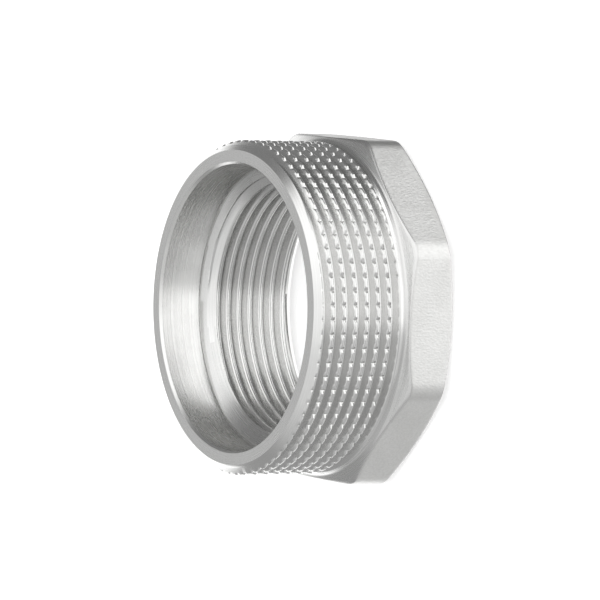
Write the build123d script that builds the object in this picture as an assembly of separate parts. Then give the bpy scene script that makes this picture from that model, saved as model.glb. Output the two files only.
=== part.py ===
"""Octagonal reducing bushing for threaded pipe, one piece of turned and forged metal.

Millimetres. The bore runs along +Z, from the wrench section's back face at Z = 0 to the counterbored
mouth, and the origin is the centre of the back face.
"""
import os
from math import cos, radians, tan

from build123d import *

# Whole part
body_length = 27.4

# Both threads: 11 turns an inch, 55 degrees between the flanks, as ring grooves without the climb
# of the helix
thread_pitch = 2.309
thread_flank_angle = 27.5
thread_depth_per_pitch = 0.6403

# Male thread
male_crest_diameter = 59.614
male_lead_inset = 1.8
male_lead_height = 1.0
collar_length = 1.39

# Wrench section, its flats a little proud of the thread
wrench_sides = 8
wrench_flat_rise = 0.893
wrench_height = 9.25
wrench_chamfer_angle = 25.0
wrench_corner_radius = 4.5
wrench_back_inset = 1.2

# Bore, from the thread's root inwards: the wall, the plain counterbore, the shoulder and the bore of
# the female thread, 44.845 across, between two countersinks
front_wall = 2.83
counterbore_depth = 8.35
mouth_bevel = 0.4
shoulder_width = 3.0762
female_entry_bevel = 1.63
female_exit_bevel = 2.68

# Worked out from the sizes above
chamfer_slope = tan(radians(wrench_chamfer_angle))
flank_slope = tan(radians(thread_flank_angle))
thread_depth = thread_depth_per_pitch * thread_pitch
thread_truncation = (thread_pitch / 2 / flank_slope - thread_depth) / 2
male_crest_radius = male_crest_diameter / 2
male_root_radius = male_crest_radius - thread_depth
flat_radius = male_crest_radius + wrench_flat_rise
counterbore_radius = male_root_radius - front_wall
female_bore_radius = counterbore_radius - shoulder_width
shoulder_height = body_length - counterbore_depth


def wrench_cone_height(radius):
    """Height of the wrench section's front chamfer cone at a radius."""
    return wrench_height + (flat_radius - radius) * chamfer_slope


def groove_half_width(radius):
    """Half the width of a male thread groove at a radius."""
    return (radius - male_root_radius + thread_truncation) * flank_slope


def first_groove_height():
    """Height of the male thread groove that the plain collar ends at."""
    collar_height = wrench_cone_height(male_crest_radius) + collar_length
    return collar_height + groove_half_width(male_crest_radius)


def turned_outline():
    """Half section of the turned outside, with the wrench section's chamfers and no grooves."""
    back_radius = flat_radius - wrench_back_inset
    rim_radius = flat_radius / cos(radians(180 / wrench_sides)) + wrench_corner_radius
    with BuildSketch() as outline:
        Polygon(
            (0, 0),
            (back_radius, 0),
            (rim_radius, (rim_radius - back_radius) * chamfer_slope),
            (rim_radius, wrench_cone_height(rim_radius)),
            (male_crest_radius, wrench_cone_height(male_crest_radius)),
            (male_crest_radius, body_length - male_lead_height),
            (male_crest_radius - male_lead_inset, body_length),
            (0, body_length),
            align=None,
        )
    return outline.sketch


def male_grooves():
    """Half section of the male thread's grooves, one pitch apart up to the mouth."""
    clear_radius = male_crest_radius + thread_truncation / 2
    clear_half = groove_half_width(clear_radius)
    root_half = groove_half_width(male_root_radius)
    lowest = first_groove_height()
    count = int((body_length - lowest) / thread_pitch) + 1
    with BuildSketch() as grooves:
        with Locations(*[(0, lowest + index * thread_pitch) for index in range(count)]):
            Polygon(
                (male_root_radius, root_half),
                (male_root_radius, -root_half),
                (clear_radius, -clear_half),
                (clear_radius, clear_half),
                align=None,
            )
    return grooves.sketch


def female_grooves():
    """Half section of the female thread's grooves, sharp at the root and centred in its bore."""
    root_radius = female_bore_radius + thread_depth
    clear_radius = female_bore_radius - thread_truncation / 2
    clear_half = (root_radius - clear_radius) * flank_slope
    lowest = female_exit_bevel
    highest = shoulder_height - female_entry_bevel
    count = int((highest - lowest - 2 * clear_half) / thread_pitch) + 1
    with BuildSketch() as grooves:
        with Locations((0, (lowest + highest) / 2)):
            with GridLocations(thread_pitch, thread_pitch, 1, count):
                Polygon(
                    (root_radius, 0),
                    (clear_radius, clear_half),
                    (clear_radius, -clear_half),
                    align=None,
                )
    return grooves.sketch


def bore_outline():
    """Half section of the open space inside, from the back countersink to the bevelled mouth."""
    with BuildSketch() as bore:
        Polygon(
            (0, 0),
            (female_bore_radius + female_exit_bevel, 0),
            (female_bore_radius, female_exit_bevel),
            (female_bore_radius, shoulder_height - female_entry_bevel),
            (female_bore_radius + female_entry_bevel, shoulder_height),
            (counterbore_radius, shoulder_height),
            (counterbore_radius, body_length - mouth_bevel),
            (counterbore_radius + mouth_bevel, body_length),
            (0, body_length),
            align=None,
        )
    return bore.sketch


def wrench_envelope():
    """Octagonal bar at the back, with a flat facing +X, and the round room above it."""
    foot_height = wrench_cone_height(male_crest_radius)
    with BuildPart() as envelope:
        with BuildSketch() as flats:
            RegularPolygon(
                radius=flat_radius,
                side_count=wrench_sides,
                major_radius=False,
                rotation=180 / wrench_sides,
            )
            fillet(flats.vertices(), radius=wrench_corner_radius)
        extrude(amount=foot_height)
        with BuildSketch(Plane.XY.offset(foot_height)):
            Circle(flat_radius)
        extrude(amount=body_length - foot_height)
    return envelope.part


def bushing():
    """The whole bushing as one solid."""
    section = turned_outline() - bore_outline() - male_grooves() - female_grooves()
    return revolve(Plane.XZ * section, axis=Axis.Z) & wrench_envelope()


if __name__ == "__main__":
    os.makedirs("parts", exist_ok=True)
    export_step(bushing(), "parts/bushing.step")
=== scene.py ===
"""Octagonal reducing bushing for threaded pipe, as it looks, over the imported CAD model.

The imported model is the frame. One detailed piece stands for the CAD's bushing: it has both threads
as right-hand helices of the rounded 55 degree form, the straight notches across the male thread,
the sloping shoulder, the softened edges and the finishes. Shapes are worked out in millimetres,
with the bore along +Z from the back face, and scaled to metres at the end.
"""

import logging
import math
from collections.abc import Callable
from dataclasses import dataclass
from enum import Enum, IntEnum
from functools import partial
from typing import Any

import bmesh
import bpy
from bmesh.types import BMEdge, BMesh, BMFace, BMVert
from mathutils import Matrix, Vector


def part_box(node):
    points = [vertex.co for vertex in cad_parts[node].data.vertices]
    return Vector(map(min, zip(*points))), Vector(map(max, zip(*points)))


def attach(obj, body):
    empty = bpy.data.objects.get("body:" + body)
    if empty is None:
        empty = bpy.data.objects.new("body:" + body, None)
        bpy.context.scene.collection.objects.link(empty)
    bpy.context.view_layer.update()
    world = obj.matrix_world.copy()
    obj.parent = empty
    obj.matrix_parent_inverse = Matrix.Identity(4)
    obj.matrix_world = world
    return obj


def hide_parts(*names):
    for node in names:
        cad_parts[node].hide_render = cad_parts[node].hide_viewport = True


logger = logging.getLogger("bushing")

MILLIMETRE = 0.001
TURN = 360.0

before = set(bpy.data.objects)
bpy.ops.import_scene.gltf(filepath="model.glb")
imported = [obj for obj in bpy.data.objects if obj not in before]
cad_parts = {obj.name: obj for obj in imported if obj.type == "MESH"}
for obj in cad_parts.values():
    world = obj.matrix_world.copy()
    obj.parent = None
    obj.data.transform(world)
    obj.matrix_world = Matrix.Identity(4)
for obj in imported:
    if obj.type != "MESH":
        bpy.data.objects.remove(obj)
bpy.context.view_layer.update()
cad_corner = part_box("bushing")[1] / MILLIMETRE

# Tolerances of the mesh work: millimetres, and degrees for the column
WELD = 0.002
CUT_SNAP = 0.0005
ON_SURFACE = 0.01
ON_RING = 0.05
ON_COLUMN = 0.1


class Surface(IntEnum):
    """Finishes of the bushing, as the order of its material slots."""

    THREAD = 0
    TURNED = 1
    COUNTERBORE = 2
    FORGED = 3


class Marks(Enum):
    """Kinds of mark that making leaves on a surface."""

    RINGS = "rings round the bore"
    GRAIN = "blasted grain"


class Side(Enum):
    """Which side of a wall a thread is cut into."""

    MALE = 1
    FEMALE = -1


def linear(hex_colour: str) -> tuple[float, float, float, float]:
    """Turn an sRGB hex colour to the linear colour that Blender shades with.

    Args:
        hex_colour: Six hex digits after a hash sign.

    Returns:
        Red, green, blue and an alpha of one.
    """
    channels = [int(hex_colour[start : start + 2], 16) / 255 for start in (1, 3, 5)]
    red, green, blue = (
        value / 12.92 if value <= 0.04045 else ((value + 0.055) / 1.055) ** 2.4
        for value in channels
    )
    return red, green, blue, 1.0


def add_node(
    tree: bpy.types.NodeTree,
    kind: str,
    settings: dict[str, Any] | None = None,
    inputs: dict[str | int, Any] | None = None,
) -> bpy.types.Node:
    """Add one node to a tree.

    Args:
        tree: Node tree that gets the node.
        kind: Blender's name for the node type.
        settings: Values of the node's own properties.
        inputs: Value or output socket for each input, by name or by number.

    Returns:
        The new node.
    """
    node = tree.nodes.new(kind)
    for name, value in (settings or {}).items():
        setattr(node, name, value)
    for name, value in (inputs or {}).items():
        if isinstance(value, bpy.types.NodeSocket):
            tree.links.new(value, node.inputs[name])
        else:
            node.inputs[name].default_value = value
    return node


def polar(radius: float, angle: float, height: float) -> Vector:
    """Point at a radius, an angle in degrees and a height."""
    turned = math.radians(angle)
    return Vector((radius * math.cos(turned), radius * math.sin(turned), height))


def angle_of(point: Vector) -> float:
    """Angle of a point about the bore axis, from 0 to 360 degrees."""
    return math.degrees(math.atan2(point.y, point.x)) % TURN


def radius_of(point: Vector) -> float:
    """Distance of a point from the bore axis."""
    return math.hypot(point.x, point.y)


@dataclass(frozen=True)
class PlatedBrass:
    """Nickel-plated brass: a faintly warm grey mirror, dulled by the marks that its making left.

    Sizes are in millimetres. The colour is that of the high spots, which are also the smoothest,
    and the shade that of the low ones. Clouds a few millimetres wide vary both a little.
    """

    name: str
    colour: str
    shade: str
    roughness: float
    roughness_spread: float
    marks: Marks
    mark_size: float
    mark_depth: float
    mark_raggedness: float = 0.6
    mark_detail: float = 2.0
    mark_share: float = 0.6
    grain_stretch: tuple[float, float, float] = (1.0, 1.0, 0.6)
    cloud_size: float = 6.0
    cloud_detail: float = 3.0
    dull_level: float = 0.3
    smooth_level: float = 0.7

    def material(self) -> bpy.types.Material:
        """Build the node material.

        Returns:
            The material, on Object coordinates.
        """
        material = bpy.data.materials.new(self.name)
        material.use_nodes = True
        tree = material.node_tree
        tree.nodes.clear()
        place = add_node(tree, "ShaderNodeTexCoord").outputs["Object"]
        marks = add_node(
            tree,
            "ShaderNodeTexNoise",
            inputs={
                "Vector": self.mark_place(tree, place),
                "Scale": 1 / (self.mark_size * MILLIMETRE),
                "Detail": self.mark_detail,
                "Roughness": self.mark_raggedness,
            },
        ).outputs["Fac"]
        clouds = add_node(
            tree,
            "ShaderNodeTexNoise",
            inputs={
                "Vector": place,
                "Scale": 1 / (self.cloud_size * MILLIMETRE),
                "Detail": self.cloud_detail,
            },
        ).outputs["Fac"]
        marked = add_node(
            tree, "ShaderNodeMath", {"operation": "MULTIPLY"}, {0: marks, 1: self.mark_share}
        ).outputs[0]
        level = add_node(
            tree,
            "ShaderNodeMath",
            {"operation": "MULTIPLY_ADD"},
            {0: clouds, 1: 1 - self.mark_share, 2: marked},
        ).outputs[0]
        colour = add_node(
            tree,
            "ShaderNodeMix",
            {"data_type": "RGBA"},
            {"Factor": level, 6: linear(self.shade), 7: linear(self.colour)},
        ).outputs[2]
        roughness = add_node(
            tree,
            "ShaderNodeMapRange",
            inputs={
                "Value": level,
                "From Min": self.dull_level,
                "From Max": self.smooth_level,
                "To Min": self.roughness + self.roughness_spread,
                "To Max": self.roughness - self.roughness_spread,
            },
        ).outputs["Result"]
        bump = add_node(
            tree,
            "ShaderNodeBump",
            inputs={"Height": marks, "Distance": self.mark_depth * MILLIMETRE, "Strength": 1.0},
        ).outputs["Normal"]
        shader = add_node(
            tree,
            "ShaderNodeBsdfPrincipled",
            inputs={"Base Color": colour, "Roughness": roughness, "Normal": bump, "Metallic": 1.0},
        ).outputs["BSDF"]
        add_node(tree, "ShaderNodeOutputMaterial", inputs={"Surface": shader})
        return material

    def mark_place(
        self, tree: bpy.types.NodeTree, place: bpy.types.NodeSocket
    ) -> bpy.types.NodeSocket:
        """Coordinates that the marks' noise reads.

        Rings read the distance from the bore axis and the height alone, so they run round the bore.
        Grain reads coordinates that make it longer along the bore than across it.

        Args:
            tree: Material's node tree.
            place: Object coordinates.

        Returns:
            The coordinates, in metres.
        """
        if self.marks is Marks.GRAIN:
            return add_node(
                tree,
                "ShaderNodeVectorMath",
                {"operation": "MULTIPLY"},
                {0: place, 1: self.grain_stretch},
            ).outputs[0]
        across = add_node(
            tree, "ShaderNodeVectorMath", {"operation": "MULTIPLY"}, {0: place, 1: (1.0, 1.0, 0.0)}
        ).outputs[0]
        radius = add_node(
            tree, "ShaderNodeVectorMath", {"operation": "LENGTH"}, {0: across}
        ).outputs["Value"]
        height = add_node(tree, "ShaderNodeSeparateXYZ", inputs={0: place}).outputs["Z"]
        return add_node(
            tree, "ShaderNodeCombineXYZ", inputs={"X": radius, "Y": height}
        ).outputs[0]


# Real tool marks are nearer 0.1 mm apart, too fine to show, so all rings are drawn coarser
FINISHES = {
    # Cut thread: the tool leaves it smooth, so it mirrors the lights most sharply, in bright beads
    Surface.THREAD: PlatedBrass(
        name="nickel_plated_brass_threaded",
        colour="#D6D6D5",
        shade="#C2C2C1",
        roughness=0.22,
        roughness_spread=0.04,
        marks=Marks.RINGS,
        mark_size=0.25,
        mark_depth=0.006,
    ),
    # Turned faces, cones and shoulder: satin, with rings too faint to break up the light
    Surface.TURNED: PlatedBrass(
        name="nickel_plated_brass_turned",
        colour="#CFCFCE",
        shade="#B9B9B8",
        roughness=0.27,
        roughness_spread=0.05,
        marks=Marks.RINGS,
        mark_size=0.3,
        mark_depth=0.006,
    ),
    # Bored wall: the same satin plating, its colour and shade lifted paler than the turned finish's
    # as painted light that brightens the wall down in the counterbore, and its deeper rings draw the
    # light out into streaks round the bore
    Surface.COUNTERBORE: PlatedBrass(
        name="nickel_plated_brass_bored_with_painted_light",
        # Painted light: these two colours are lifted above the turned finish's to brighten the
        # recessed wall
        colour="#DADAD9",
        shade="#C1C1BF",
        roughness=0.26,
        roughness_spread=0.06,
        marks=Marks.RINGS,
        mark_size=0.35,
        mark_depth=0.009,
    ),
    # Forged and blasted flats: matt and even, with the sand-like grain that the shot leaves
    Surface.FORGED: PlatedBrass(
        name="nickel_plated_brass_blasted",
        colour="#D5D5D4",
        shade="#BFBFBD",
        roughness=0.42,
        roughness_spread=0.08,
        marks=Marks.GRAIN,
        mark_size=0.32,
        mark_depth=0.045,
        mark_raggedness=0.5,
    ),
}


@dataclass
class PipeThread:
    """Parallel pipe thread of the rounded 55 degree form, as one strip wound along a helix.

    Sizes are in millimetres and angles in degrees. Each turn of the strip is made of equal cells,
    and each cell of a few columns, so a notch can stand on the same column of every cell.
    """

    side: Side
    crest_radius: float
    groove_height: float
    low: float
    high: float
    cells: int
    cell_columns: int
    first_angle: float
    pitch: float = 2.309
    flank_angle: float = 27.5
    depth_per_pitch: float = 0.640327
    rounding_per_pitch: float = 0.137329
    arc_steps: int = 6
    flank_depth: float = 0.47

    @property
    def depth(self) -> float:
        """Distance from crest to root."""
        return self.depth_per_pitch * self.pitch

    @property
    def rounding(self) -> float:
        """Radius at crest and root."""
        return self.rounding_per_pitch * self.pitch

    def section(self) -> list[tuple[float, float]]:
        """Points of one pitch of the form, from the middle of a groove up to the next.

        Returns:
            Pairs of distance below the crest and height above the groove's middle.
        """
        reach = 90 - self.flank_angle
        steps = [index / self.arc_steps for index in range(self.arc_steps + 1)]
        turns = [math.radians(reach * (2 * step - 1)) for step in steps]
        half = self.pitch / 2
        root = [
            (self.depth - self.rounding * (1 - math.cos(turn)), self.rounding * math.sin(turn))
            for turn in turns
            if turn >= 0
        ]
        crest = [
            (self.rounding * (1 - math.cos(turn)), half + self.rounding * math.sin(turn))
            for turn in turns
        ]
        run = (self.flank_depth - crest[0][0]) * math.tan(math.radians(self.flank_angle))
        rising = (self.flank_depth, crest[0][1] - run)
        falling = (self.flank_depth, crest[-1][1] + run)
        far_root = [(drop, self.pitch - height) for drop, height in reversed(root)]
        return root + [rising] + crest + [falling] + far_root[:-1]

    def wind(self, bm: BMesh) -> None:
        """Wind the strip, with a turn to spare past each end.

        One cell is spun column by column, and then copied round, so the cells are alike.

        Args:
            bm: Empty mesh that gets the strip, seam closed.
        """
        first = math.floor((self.low - self.groove_height) / self.pitch) - 1
        last = math.ceil((self.high - self.groove_height) / self.pitch)
        line = []
        for index in range(first, last + 1):
            foot = self.groove_height + index * self.pitch
            for drop, rise in self.section():
                radius = self.crest_radius - self.side.value * drop
                line.append(bm.verts.new(polar(radius, self.first_angle, foot + rise)))
        edges = [bm.edges.new(pair) for pair in zip(line, line[1:])]
        bmesh.ops.spin(
            bm,
            geom=line + edges,
            cent=(0, 0, 0),
            axis=(0, 0, 1),
            dvec=(0, 0, self.pitch / self.cells / self.cell_columns),
            angle=math.tau / self.cells,
            steps=self.cell_columns,
            use_merge=False,
            use_normal_flip=False,
            use_duplicate=False,
        )
        bmesh.ops.spin(
            bm,
            geom=bm.verts[:] + bm.edges[:] + bm.faces[:],
            cent=(0, 0, 0),
            axis=(0, 0, 1),
            dvec=(0, 0, self.pitch / self.cells),
            angle=math.tau * (1 - 1 / self.cells),
            steps=self.cells - 1,
            use_merge=False,
            use_normal_flip=False,
            use_duplicate=True,
        )
        bmesh.ops.remove_doubles(bm, verts=bm.verts[:], dist=WELD)

    def turns_up(self, point: Vector) -> float:
        """Turns of the helix from the groove at height zero to the groove nearest a point.

        Args:
            point: Point on the strip.

        Returns:
            Whole turns and the part of a turn.
        """
        part = ((angle_of(point) - self.first_angle) % TURN) / TURN
        climbed = (point.z - self.groove_height) / self.pitch - part
        return round(climbed) + part


@dataclass
class Bushing:
    """The bushing as it looks, one closed shell that stands for the CAD's node.

    Sizes are in millimetres, heights from the back face, and angles in degrees. The length and the
    flats come from the frame. The other sizes repeat the CAD's, and add the helix, the notches, the
    softened edges and the shoulder's slope.
    """

    length: float = cad_corner.z

    # Male thread: its groove runs out between two counts of turns, and a chamfer leads onto it
    male_crest: float = 29.807
    male_phase: float = 1.892
    groove_end: float = 3.70
    groove_full: float = 3.95
    collar_blend: float = 0.3
    lead_radius: float = 28.0
    lead_height: float = 1.0
    lead_clearance: float = 0.1

    # Notches across its crests, on the first column of every cell
    notch_count: int = 72
    notch_angle: float = 0.52
    notch_depth: float = 0.47
    notch_foot: float = 10.9
    notch_edge: float = 0.02
    notch_snap: float = 0.005
    columns_per_notch: int = 5

    # Wrench section: an octagonal bar between two cones
    flat_count: int = 8
    flat_radius: float = cad_corner.x
    wrench_height: float = 9.25
    chamfer_angle: float = 25.0
    corner_rounding: float = 4.5
    back_radius: float = 29.5
    back_border: float = 0.4
    foot_rounding: float = 0.9
    foot_steps: int = 6
    edge_softening: float = 0.07
    softening_share: float = 0.4

    # Rings of faces on it, as shares of the way across each surface
    cone_rings: tuple[float, ...] = (0.35, 0.7, 1.0)
    flat_rings: tuple[float, ...] = (0.05, 0.35, 0.65, 0.95, 1.0)
    back_cone_rings: tuple[float, ...] = (0.0, 0.5, 1.0)

    # Bore: the female thread between its two countersinks, and the counterbore
    female_crest: float = 22.4225
    female_phase: float = 0.427
    female_arc_steps: int = 4
    entry_radius: float = 25.25
    entry_depth: float = 1.63
    exit_radius: float = 25.1
    wall_radius: float = 25.5
    wall_depth: float = 8.35
    mouth_bevel: float = 0.4
    shoulder_rounding: float = 0.15
    face_border: float = 0.05

    sharp_angle: float = 38.0

    @property
    def shoulder(self) -> float:
        """Height of the counterbore's floor at the wall."""
        return self.length - self.wall_depth

    @property
    def chamfer_slope(self) -> float:
        """Rise of the wrench section's cones for each millimetre of radius."""
        return math.tan(math.radians(self.chamfer_angle))

    @property
    def foot_turn(self) -> float:
        """Turn of the rounding between the collar and the front cone."""
        return 90.0 - self.chamfer_angle

    @property
    def foot_radius(self) -> float:
        """Radius at which that rounding meets the front cone."""
        turn = math.radians(self.foot_turn)
        return self.male_crest + self.foot_rounding * (1 - math.cos(turn))

    @property
    def collar_low(self) -> float:
        """Height at which that rounding meets the collar."""
        run = self.foot_rounding * math.tan(math.radians(self.foot_turn / 2))
        return self.cone_height(self.male_crest) + run

    @property
    def half_flat(self) -> float:
        """Half of a flat's share of the turn."""
        return TURN / self.flat_count / 2

    @property
    def corner_reach(self) -> float:
        """Angle from a corner's middle to where its rounding meets the flat."""
        share = (self.flat_radius - self.corner_rounding) / self.flat_radius
        meet = math.atan(share * math.tan(math.radians(self.half_flat)))
        return self.half_flat - math.degrees(meet)

    def cone_height(self, radius: float) -> float:
        """Height of the wrench section's front cone at a radius."""
        return self.wrench_height + (self.flat_radius - radius) * self.chamfer_slope

    def back_height(self, radius: float) -> float:
        """Height of the wrench section's back cone at a radius."""
        return (radius - self.back_radius) * self.chamfer_slope

    def lead_cone(self, height: float) -> float:
        """Radius of the chamfer that leads onto the male thread, at a height."""
        below = max(self.length - height, 0.0) / self.lead_height
        return self.lead_radius + below * (self.male_crest - self.lead_clearance - self.lead_radius)

    def entry_cone(self, height: float) -> float:
        """Radius of the sloping shoulder, which runs down to the female thread, at a height."""
        below = max(self.shoulder - height, 0.0) / self.entry_depth
        return self.entry_radius - below * (self.entry_radius - self.female_crest)

    def off_notch(self, angle: float) -> float:
        """Angle from the middle of the nearest notch."""
        spacing = TURN / self.notch_count
        return abs((angle - self.notch_angle + spacing / 2) % spacing - spacing / 2)

    def cut_thread(
        self,
        bm: BMesh,
        thread: PipeThread,
        bevels: tuple[float, ...],
        limit: Callable[[BMVert], float],
    ) -> None:
        """Trim a wound strip to its length and move it to its limits.

        Args:
            bm: Mesh that holds only the strip.
            thread: Thread that the strip is.
            bevels: Heights at which the bevels of its ends start.
            limit: Radius that a vertex is moved to.
        """
        cuts = [(thread.low, -1, True), (thread.high, 1, True)]
        cuts += [(height, 1, False) for height in bevels]
        for height, outward, trim in cuts:
            bmesh.ops.bisect_plane(
                bm,
                geom=bm.verts[:] + bm.edges[:] + bm.faces[:],
                dist=CUT_SNAP,
                plane_co=(0, 0, height),
                plane_no=(0, 0, outward),
                clear_outer=trim,
            )
        for vert in bm.verts:
            height = min(max(vert.co.z, thread.low), thread.high)
            vert.co = polar(limit(vert), angle_of(vert.co), height)

    def male_radius(self, thread: PipeThread, vert: BMVert) -> float:
        """Radius of the male thread at a vertex, with its run-out, notches and lead chamfer.

        Args:
            thread: The male thread.
            vert: Vertex on its strip.

        Returns:
            The radius.
        """
        point = vert.co
        share = (thread.turns_up(point) - self.groove_end) / (self.groove_full - self.groove_end)
        above_collar = (point.z - thread.low) / self.collar_blend
        share = min(max(share, 0.0), max(above_collar, 0.0), 1.0)
        radius = self.male_crest - share * (self.male_crest - radius_of(point))
        if self.off_notch(angle_of(point)) < ON_COLUMN and point.z > self.notch_foot:
            radius = min(radius, self.male_crest - self.notch_depth)
        return min(radius, self.lead_cone(point.z))

    def female_radius(self, vert: BMVert) -> float:
        """Radius of the female thread at a vertex, with its two countersinks.

        Args:
            vert: Vertex on its strip.

        Returns:
            The radius.
        """
        point = vert.co
        leave = self.exit_radius - max(point.z, 0.0)
        return max(radius_of(point), self.entry_cone(point.z), leave)

    def male_strip(self, bm: BMesh) -> None:
        """Make the male thread, from the plain collar to the front face.

        Args:
            bm: Empty mesh that gets it.
        """
        thread = PipeThread(
            side=Side.MALE,
            crest_radius=self.male_crest,
            groove_height=self.male_phase,
            low=self.collar_low,
            high=self.length,
            cells=self.notch_count,
            cell_columns=self.columns_per_notch,
            first_angle=self.notch_angle,
            flank_depth=self.notch_depth,
        )
        thread.wind(bm)
        bevels = (self.length - self.lead_height,)
        self.cut_thread(bm, thread, bevels, partial(self.male_radius, thread))
        self.crease_notches(bm)

    def crease_notches(self, bm: BMesh) -> None:
        """Cross each face that a notch meets at the flank with an edge, so the V stays sharp.

        Args:
            bm: Mesh of the male thread.
        """
        column = TURN / self.notch_count / self.columns_per_notch
        floor = self.male_crest - self.notch_depth
        marked = []
        for vert in bm.verts:
            radius = radius_of(vert.co)
            off_notch = self.off_notch(angle_of(vert.co))
            lowest = min(radius_of(edge.other_vert(vert).co) for edge in vert.link_edges)
            beside = column / 2 < off_notch < 3 * column / 2
            over_floor = radius > floor + self.notch_edge and lowest < floor + self.notch_snap
            in_notch = off_notch < ON_COLUMN and abs(radius - floor) < WELD
            if (beside and over_floor) or (in_notch and lowest < floor - self.notch_edge):
                marked.append(vert)
        bmesh.ops.connect_verts(bm, verts=marked)

    def female_strip(self, bm: BMesh) -> None:
        """Make the female thread, from the back countersink up to the turned shoulder.

        Args:
            bm: Empty mesh that gets it.
        """
        thread = PipeThread(
            side=Side.FEMALE,
            crest_radius=self.female_crest,
            groove_height=self.female_phase,
            low=0.0,
            high=self.shoulder,
            cells=self.notch_count,
            cell_columns=self.columns_per_notch,
            first_angle=self.notch_angle,
            arc_steps=self.female_arc_steps,
        )
        thread.wind(bm)
        bevels = (self.exit_radius - self.female_crest, self.shoulder - self.entry_depth)
        self.cut_thread(bm, thread, bevels, self.female_radius)
        for face in bm.faces:
            if all(
                abs(radius_of(vert.co) - self.entry_cone(vert.co.z)) < ON_SURFACE
                for vert in face.verts
            ):
                face.material_index = Surface.TURNED

    def extend(
        self,
        bm: BMesh,
        ring: list[BMEdge],
        place: Callable[[float], Vector],
        surface: Surface,
        crease: bool = False,
    ) -> list[BMEdge]:
        """Extrude an open ring and place the new ring.

        Args:
            bm: Mesh that holds the ring.
            ring: Edges of the open ring.
            place: Point of the new ring for the old ring's angle.
            surface: Finish of the new faces.
            crease: Whether the old ring is a sharp edge.

        Returns:
            Edges of the new ring.
        """
        made = bmesh.ops.extrude_edge_only(bm, edges=ring)["geom"]
        verts = {item for item in made if isinstance(item, BMVert)}
        for vert in verts:
            vert.co = place(angle_of(vert.co))
        for item in made:
            if isinstance(item, BMFace):
                item.material_index = surface
        if crease:
            for edge in ring:
                edge.smooth = False
        return [item for item in made if isinstance(item, BMEdge) and set(item.verts) <= verts]

    def off_corner(self, angle: float) -> float:
        """Angle from the middle of the nearest corner, with its sign."""
        return angle % (2 * self.half_flat) - self.half_flat

    def to_corner(self, angle: float) -> float:
        """Angle moved so that whole columns stand where a corner's rounding meets the flats.

        Columns are a degree apart. The next column out moves too, and the rest stay.

        Args:
            angle: Angle of a column.

        Returns:
            The angle it moves to.
        """
        off = self.off_corner(angle)
        columns = round(self.corner_reach)
        inner = columns + ON_COLUMN
        outer = inner + 1
        stretch = self.corner_reach / columns
        if abs(off) <= inner:
            return angle + off * (stretch - 1)
        if abs(off) < outer:
            return angle + math.copysign(inner * (stretch - 1) * (outer - abs(off)), off)
        return angle

    def bar_radius(self, angle: float) -> float:
        """Radius of the octagonal bar with rounded corners.

        Args:
            angle: Angle about the axis.

        Returns:
            The radius.
        """
        off = abs(self.off_corner(angle))
        if off >= self.corner_reach:
            return self.flat_radius / math.cos(math.radians(self.half_flat - off))
        centre = self.flat_radius - self.corner_rounding
        centre /= math.cos(math.radians(self.half_flat))
        across = centre * math.sin(math.radians(off))
        return centre * math.cos(math.radians(off)) + math.sqrt(self.corner_rounding**2 - across**2)

    def softening(self, angle: float) -> float:
        """Width of the bar's softened edges, less where the front cone is narrow."""
        cone_width = self.bar_radius(angle) - self.foot_radius
        return min(self.edge_softening, self.softening_share * cone_width)

    def on_foot(self, turn: float, angle: float) -> Vector:
        """Point on the rounding between the collar and the front cone.

        Args:
            turn: Turn from the collar's side of the rounding.
            angle: Angle about the axis.

        Returns:
            The point.
        """
        inward = self.foot_rounding * math.cos(math.radians(turn))
        down = self.foot_rounding * math.sin(math.radians(turn))
        return polar(self.male_crest + self.foot_rounding - inward, angle, self.collar_low - down)

    def on_cone(self, share: float, angle: float) -> Vector:
        """Point on the front cone.

        Args:
            share: Share of the way out to the bar.
            angle: Angle about the axis.

        Returns:
            The point.
        """
        rim = self.bar_radius(angle) - self.softening(angle)
        radius = self.foot_radius + share * (rim - self.foot_radius)
        return polar(radius, angle, self.cone_height(radius))

    def on_flat(self, share: float, angle: float) -> Vector:
        """Point on the bar's flats and corners.

        Args:
            share: Share of the way down to the back cone.
            angle: Angle about the axis.

        Returns:
            The point.
        """
        radius = self.bar_radius(angle)
        top = self.cone_height(radius) - self.softening(angle)
        bottom = self.back_height(radius) + self.softening(angle)
        return polar(radius, angle, top + share * (bottom - top))

    def on_back_cone(self, share: float, angle: float) -> Vector:
        """Point on the back cone.

        Args:
            share: Share of the way in to the back face.
            angle: Angle about the axis.

        Returns:
            The point.
        """
        rim = self.bar_radius(angle) - self.softening(angle)
        radius = rim + share * (self.back_radius - rim)
        return polar(radius, angle, self.back_height(radius))

    def wrench_section(self, bm: BMesh, ring: list[BMEdge]) -> list[BMEdge]:
        """Make the foot rounding, the octagon with its two cones, and the back face's border.

        Args:
            bm: Mesh that ends in the collar's lower ring.
            ring: Edges of that ring.

        Returns:
            Edges of the border's inner ring.
        """
        turns = [self.foot_turn * step / self.foot_steps for step in range(1, self.foot_steps + 1)]
        first_share, *cone_shares = self.cone_rings
        places: list[Callable[[float], Vector]] = [
            *(partial(self.on_foot, turn) for turn in turns),
            lambda angle: self.on_cone(first_share, self.to_corner(angle)),
            *(partial(self.on_cone, share) for share in cone_shares),
            partial(self.on_flat, 0.0),
        ]
        for place in places:
            ring = self.extend(bm, ring, place, Surface.TURNED)
        for share in self.flat_rings:
            ring = self.extend(bm, ring, partial(self.on_flat, share), Surface.FORGED)
        for share in self.back_cone_rings:
            ring = self.extend(bm, ring, partial(self.on_back_cone, share), Surface.TURNED)
        border = partial(polar, self.back_radius - self.back_border, height=0.0)
        return self.extend(bm, ring, border, Surface.TURNED, crease=True)

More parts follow.
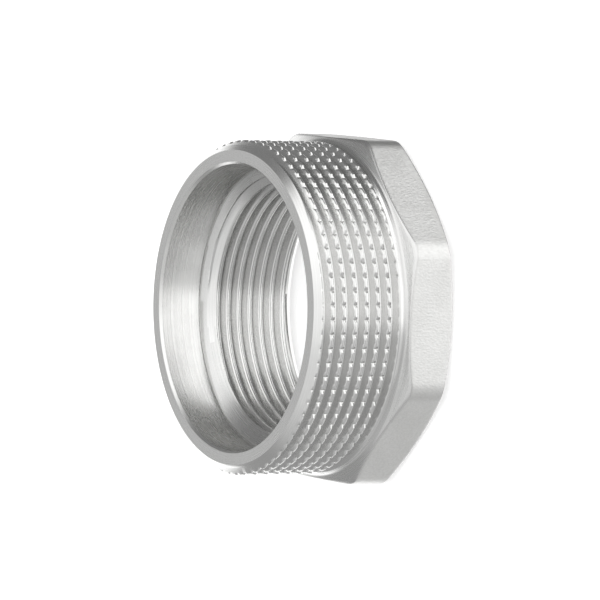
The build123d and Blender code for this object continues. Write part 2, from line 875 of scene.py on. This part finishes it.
    def mouth(self, bm: BMesh, ring: list[BMEdge]) -> list[BMEdge]:
        """Make the front face, the counterbore's wall and the rounding at its floor.

        Args:
            bm: Mesh that ends in the front face's outer ring.
            ring: Edges of that ring.

        Returns:
            Edges of the shoulder's outer ring.
        """
        wall = self.wall_radius
        floor = self.shoulder
        nook = self.shoulder_rounding
        nook_middle = nook * (1 - math.sqrt(0.5))
        bevel_radius = wall + self.mouth_bevel
        rings = (
            (self.lead_radius - self.face_border, self.length, Surface.TURNED, True),
            (bevel_radius + self.face_border, self.length, Surface.TURNED, False),
            (bevel_radius, self.length, Surface.TURNED, False),
            (wall, self.length - self.mouth_bevel, Surface.COUNTERBORE, True),
            (wall, floor + 2 * nook, Surface.COUNTERBORE, True),
            (wall, floor + nook, Surface.COUNTERBORE, False),
            (wall - nook_middle, floor + nook_middle, Surface.COUNTERBORE, False),
            (wall - nook, floor, Surface.COUNTERBORE, False),
        )
        for radius, height, surface, crease in rings:
            ring = self.extend(bm, ring, partial(polar, radius, height=height), surface, crease)
        return ring

    def open_ring(self, bm: BMesh, height: float, radius: float) -> list[BMEdge]:
        """Find an open ring.

        Args:
            bm: Mesh to look in.
            height: Height of the ring.
            radius: Radius of the ring.

        Returns:
            Its edges.
        """
        return [
            edge
            for edge in bm.edges
            if edge.is_boundary
            and all(
                abs(vert.co.z - height) < ON_SURFACE and abs(radius_of(vert.co) - radius) < ON_RING
                for vert in edge.verts
            )
        ]

    def join_bore(self, bm: BMesh, ring: list[BMEdge], height: float, radius: float) -> None:
        """Fill the flat band between an outer ring and the bore's open ring.

        Args:
            bm: Mesh that holds both rings.
            ring: Edges of the outer ring.
            height: Height of both rings.
            radius: Radius of the bore's ring.
        """
        filled = bmesh.ops.triangle_fill(
            bm,
            edges=ring + self.open_ring(bm, height, radius),
            use_beauty=False,
            use_dissolve=False,
            normal=(0, 0, 1),
        )
        for item in filled["geom"]:
            if isinstance(item, BMFace):
                item.material_index = Surface.TURNED

    def shell(self, bm: BMesh) -> None:
        """Make the whole shell: both threads, and what joins them at the back and in the mouth.

        Args:
            bm: Empty mesh that gets it.
        """
        self.female_strip(bm)
        bore = bpy.data.meshes.new("female_thread")
        bm.to_mesh(bore)
        bm.clear()
        self.male_strip(bm)
        collar = self.open_ring(bm, self.collar_low, self.male_crest)
        rim = self.open_ring(bm, self.length, self.lead_radius)
        back = self.wrench_section(bm, collar)
        shoulder = self.mouth(bm, rim)
        bm.from_mesh(bore)
        bpy.data.meshes.remove(bore)
        self.join_bore(bm, back, 0.0, self.exit_radius)
        self.join_bore(bm, shoulder, self.shoulder, self.entry_radius)
        bmesh.ops.recalc_face_normals(bm, faces=bm.faces[:])

    def shade(self, bm: BMesh) -> None:
        """Shade the shell smoothly between its sharp edges.

        Args:
            bm: The shell.
        """
        limit = math.radians(self.sharp_angle)
        for edge in bm.edges:
            if edge.is_manifold and edge.calc_face_angle(0.0) > limit:
                edge.smooth = False
        for face in bm.faces:
            face.smooth = True

    def build(self) -> bpy.types.Object:
        """Build the bushing's mesh and dress it.

        Returns:
            The finished piece.
        """
        bm = bmesh.new()
        self.shell(bm)
        self.shade(bm)
        bmesh.ops.scale(bm, vec=(MILLIMETRE,) * 3, verts=bm.verts[:])
        open_edges = sum(not edge.is_manifold for edge in bm.edges)
        logger.info("bushing shell: %d faces, %d open edges", len(bm.faces), open_edges)
        mesh = bpy.data.meshes.new("plated_bushing")
        bm.to_mesh(mesh)
        bm.free()
        piece = bpy.data.objects.new("plated_bushing", mesh)
        bpy.context.scene.collection.objects.link(piece)
        for surface in Surface:
            mesh.materials.append(FINISHES[surface].material())
        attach(piece, "root")
        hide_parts("bushing")
        return piece


@dataclass(frozen=True)
class SoftBox:
    """A soft light far from the set, as wide and high as the set sees it.

    Its sides are in degrees: those of `across` count from the camera to the photograph's right, and
    those of `height` from level to the photograph's up. Its light fades over `fade` degrees at each
    side. Its level comes on top of the surround's, and a level below zero stands for a dark screen.
    """

    across: tuple[float, float]
    height: tuple[float, float]
    level: float
    fade: float = 8.0

    def shine(
        self,
        tree: bpy.types.NodeTree,
        turn: bpy.types.NodeSocket,
        climb: bpy.types.NodeSocket,
    ) -> bpy.types.NodeSocket:
        """Level of the box's light in a direction.

        Args:
            tree: Node tree of the world.
            turn: Angle of the direction from the camera to the right, in radians.
            climb: Angle of the direction above level, in radians.

        Returns:
            The box's level inside its sides, and nothing past them.
        """
        level: float | bpy.types.NodeSocket = self.level
        for angle, (first, last) in ((turn, self.across), (climb, self.height)):
            middle = math.radians((first + last) / 2)
            half = (last - first) / 2
            past_middle = add_node(
                tree, "ShaderNodeMath", {"operation": "SUBTRACT"}, {0: angle, 1: middle}
            ).outputs[0]
            wrapped = add_node(
                tree,
                "ShaderNodeMath",
                {"operation": "WRAP"},
                {0: past_middle, 1: math.pi, 2: -math.pi},
            ).outputs[0]
            off = add_node(
                tree, "ShaderNodeMath", {"operation": "ABSOLUTE"}, {0: wrapped}
            ).outputs[0]
            level = add_node(
                tree,
                "ShaderNodeMapRange",
                {"interpolation_type": "SMOOTHSTEP"},
                {
                    "Value": off,
                    "From Min": math.radians(half - self.fade / 2),
                    "From Max": math.radians(half + self.fade / 2),
                    "To Min": level,
                    "To Max": 0.0,
                },
            ).outputs["Result"]
        return level


SOFT_BOXES = (
    # Pale table all round, brighter under the lights at its right and left, with a dark edge behind
    SoftBox(across=(-180, 180), height=(-100, -12), level=0.43),
    SoftBox(across=(40, 100), height=(-45, -12), level=0.28),
    SoftBox(across=(-90, -35), height=(-32, -12), level=0.34),
    SoftBox(across=(-150, -95), height=(-60, -12), level=-0.26),
    # Box at the left and its brighter middle, which the cones and the shoulder mirror
    SoftBox(across=(-82, -10), height=(-12, 50), level=1.1),
    SoftBox(across=(-80, -10), height=(8, 48), level=0.35, fade=24.0),
    # Boxes from the camera round to the far right, which the threads, the flats and the wall mirror
    SoftBox(across=(-10, 45), height=(-12, 60), level=1.2),
    SoftBox(across=(45, 82), height=(-12, 54), level=1.6),
    SoftBox(across=(82, 116), height=(-12, 68), level=1.8, fade=4.0),
    # Strip above, at the right
    SoftBox(across=(0, 60), height=(58, 76), level=0.6),
    # Box behind at the left, which the front face mirrors, and the backdrop's glow behind the set
    SoftBox(across=(-145, -84), height=(-12, 26), level=0.46),
    SoftBox(across=(135, 225), height=(-45, 26), level=1.3),
)


@dataclass
class Studio:
    """Camera, floor and light, placed by the photograph's right, up and toward directions.

    Angles are in degrees. The place of the mouth's centre is in millimetres, as the camera sees it:
    right of the picture's middle, below it, and away from the lens. The floor is in metres.
    """

    bore_tilt: float = 58.61
    flat_turn: float = 94.7
    mouth_height: float = cad_corner.z
    mouth_right: float = -12.21
    mouth_down: float = 1.32
    mouth_distance: float = 855.2

    lens: float = 289.0
    sensor_width: float = 36.0
    nearest: float = 0.01
    farthest: float = 50.0

    floor_radius: float = 2.0
    floor_sides: int = 64
    floor_drop: float = 0.0001
    paper: str = "#F4F4F4"
    paper_lift: float = 0.45

    surround: float = 0.27

    @property
    def across(self) -> Vector:
        """Direction at right angles to the bore that the photograph shows nearest to its right."""
        return polar(1.0, self.flat_turn, 0.0)

    @property
    def right(self) -> Vector:
        """The photograph's right."""
        tilt = math.radians(self.bore_tilt)
        return math.cos(tilt) * self.across - math.sin(tilt) * Vector((0, 0, 1))

    @property
    def up(self) -> Vector:
        """The photograph's up."""
        return polar(1.0, self.flat_turn + 90.0, 0.0)

    @property
    def toward(self) -> Vector:
        """Direction from the object to the camera."""
        tilt = math.radians(self.bore_tilt)
        return math.sin(tilt) * self.across + math.cos(tilt) * Vector((0, 0, 1))

    def place_camera(self) -> None:
        """Create the camera at the photograph's place and make it the scene's."""
        data = bpy.data.cameras.new("photo_camera")
        data.lens = self.lens
        data.sensor_width = self.sensor_width
        data.clip_start = self.nearest
        data.clip_end = self.farthest
        camera = bpy.data.objects.new("photo_camera", data)
        bpy.context.scene.collection.objects.link(camera)
        mouth = Vector((0, 0, self.mouth_height))
        offset = self.mouth_right * self.right - self.mouth_down * self.up
        eye = (mouth - offset + self.mouth_distance * self.toward) * MILLIMETRE
        turn = [[self.right[row], self.up[row], self.toward[row], eye[row]] for row in range(3)]
        camera.matrix_world = Matrix([*turn, [0.0, 0.0, 0.0, 1.0]])
        bpy.context.scene.camera = camera

    def white_paper(self) -> bpy.types.Material:
        """Matt white paper, which gives the eye an even white and a soft shadow.

        The camera sees it lifted to the background's white, and metal sees the studio through it.

        Returns:
            The material.
        """
        material = bpy.data.materials.new("white_paper")
        material.use_nodes = True
        tree = material.node_tree
        tree.nodes.clear()
        seen = add_node(tree, "ShaderNodeLightPath")
        paper = add_node(
            tree, "ShaderNodeBsdfDiffuse", inputs={"Color": linear(self.paper)}
        ).outputs[0]
        lift = add_node(
            tree,
            "ShaderNodeEmission",
            inputs={"Color": (1, 1, 1, 1), "Strength": self.paper_lift},
        ).outputs[0]
        lifted = add_node(tree, "ShaderNodeAddShader", inputs={0: paper, 1: lift}).outputs[0]
        clear = add_node(tree, "ShaderNodeBsdfTransparent").outputs[0]
        surface = paper
        for ray, shader in (("Is Camera Ray", lifted), ("Is Glossy Ray", clear)):
            surface = add_node(
                tree, "ShaderNodeMixShader", inputs={0: seen.outputs[ray], 1: surface, 2: shader}
            ).outputs[0]
        add_node(tree, "ShaderNodeOutputMaterial", inputs={"Surface": surface})
        return material

    def floor(self) -> bpy.types.Object:
        """Lay the pale floor that the bushing stands on.

        Returns:
            The floor.
        """
        bm = bmesh.new()
        bmesh.ops.create_circle(
            bm,
            cap_ends=True,
            radius=self.floor_radius,
            segments=self.floor_sides,
            matrix=Matrix.Translation((0, 0, -self.floor_drop)),
        )
        mesh = bpy.data.meshes.new("floor")
        bm.to_mesh(mesh)
        bm.free()
        floor = bpy.data.objects.new("floor", mesh)
        bpy.context.scene.collection.objects.link(floor)
        mesh.materials.append(self.white_paper())
        return floor

    def light(self) -> None:
        """Light the set with soft boxes round a grey surround, all by the world's colour."""
        world = bpy.data.worlds.new("studio")
        bpy.context.scene.world = world
        world.use_nodes = True
        tree = world.node_tree
        tree.nodes.clear()
        way = add_node(tree, "ShaderNodeTexCoord").outputs["Generated"]
        toward, right, up = (
            add_node(
                tree, "ShaderNodeVectorMath", {"operation": "DOT_PRODUCT"}, {0: way, 1: axis}
            ).outputs["Value"]
            for axis in (self.toward, self.right, self.up)
        )
        turn = add_node(
            tree, "ShaderNodeMath", {"operation": "ARCTAN2"}, {0: right, 1: toward}
        ).outputs[0]
        climb = add_node(tree, "ShaderNodeMath", {"operation": "ARCSINE"}, {0: up}).outputs[0]
        total: float | bpy.types.NodeSocket = self.surround
        for box in SOFT_BOXES:
            level = box.shine(tree, turn, climb)
            total = add_node(
                tree, "ShaderNodeMath", {"operation": "ADD"}, {0: total, 1: level}
            ).outputs[0]
        studio, white = (
            add_node(
                tree,
                "ShaderNodeBackground",
                inputs={"Color": (1, 1, 1, 1), "Strength": strength},
            ).outputs[0]
            for strength in (total, 1.0)
        )
        seen = add_node(tree, "ShaderNodeLightPath").outputs["Is Camera Ray"]
        surface = add_node(
            tree, "ShaderNodeMixShader", inputs={0: seen, 1: studio, 2: white}
        ).outputs[0]
        add_node(tree, "ShaderNodeOutputWorld", inputs={"Surface": surface})


def main() -> None:
    """Build the scene and report each piece."""
    logging.basicConfig(level=logging.INFO, format="%(message)s")
    logger.info("CAD nodes in the frame: %d", len(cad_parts))
    studio = Studio()
    studio.place_camera()
    for piece in (Bushing().build(), studio.floor()):
        logger.info("%s: %d faces", piece.name, len(piece.data.polygons))
    studio.light()
    bpy.context.scene.view_settings.view_transform = "Standard"


if __name__ == "__main__":
    main()
